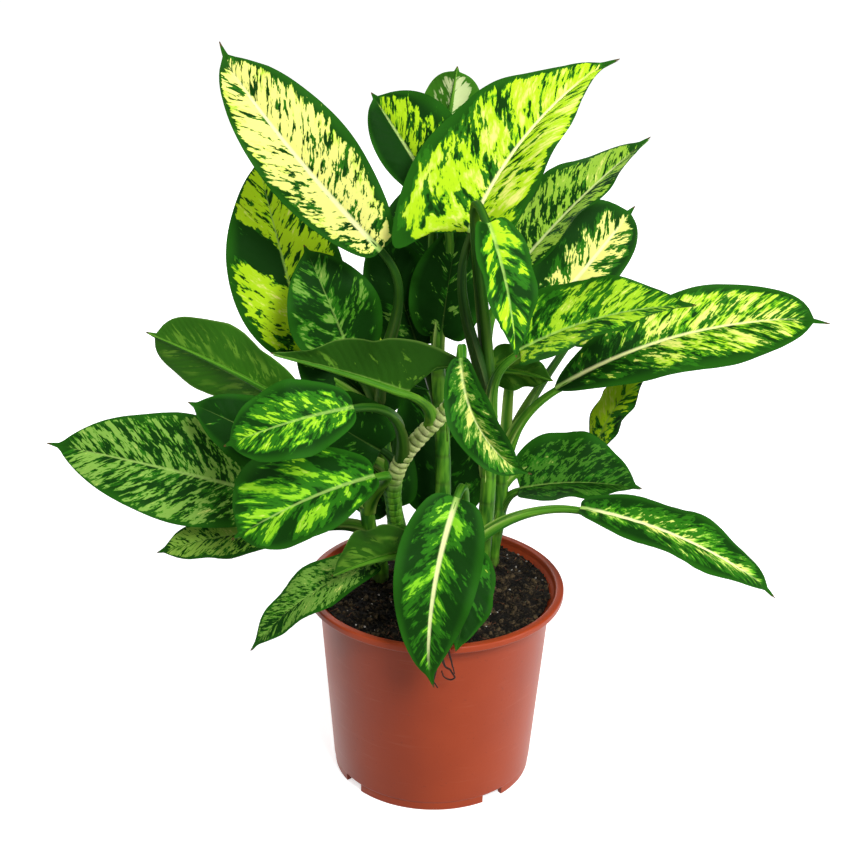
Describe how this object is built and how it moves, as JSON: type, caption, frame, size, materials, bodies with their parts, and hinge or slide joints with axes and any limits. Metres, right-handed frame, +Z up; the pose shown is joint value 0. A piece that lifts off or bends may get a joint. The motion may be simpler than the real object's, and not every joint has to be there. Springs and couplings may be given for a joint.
{
  "type": "potted dieffenbachia",
  "caption": "Leafy house plant with broad variegated blades on arching stalks, in a round tapered nursery pot with a rim band and a notched foot.",
  "frame": {"origin": "middle of the pot's underside, on the floor", "axes": "+Z up, -Y towards the side the plant shows best, +X to its right"},
  "size_m": [0.5001, 0.2878, 0.4804],
  "materials": {
    "pot": "satin terracotta-coloured plastic",
    "soil": "rough dark potting mix",
    "foliage": "satin green blades splashed with lime and cream"
  },
  "bodies": {
    "root": {"pot": "pot", "soil": "soil", "shoot_left": "foliage", "shoot_ringed": "foliage", "shoot_back_left": "foliage", "shoot_centre": "foliage", "shoot_tall": "foliage", "shoot_right": "foliage", "shoot_front": "foliage"}
  },
  "joints": []
}
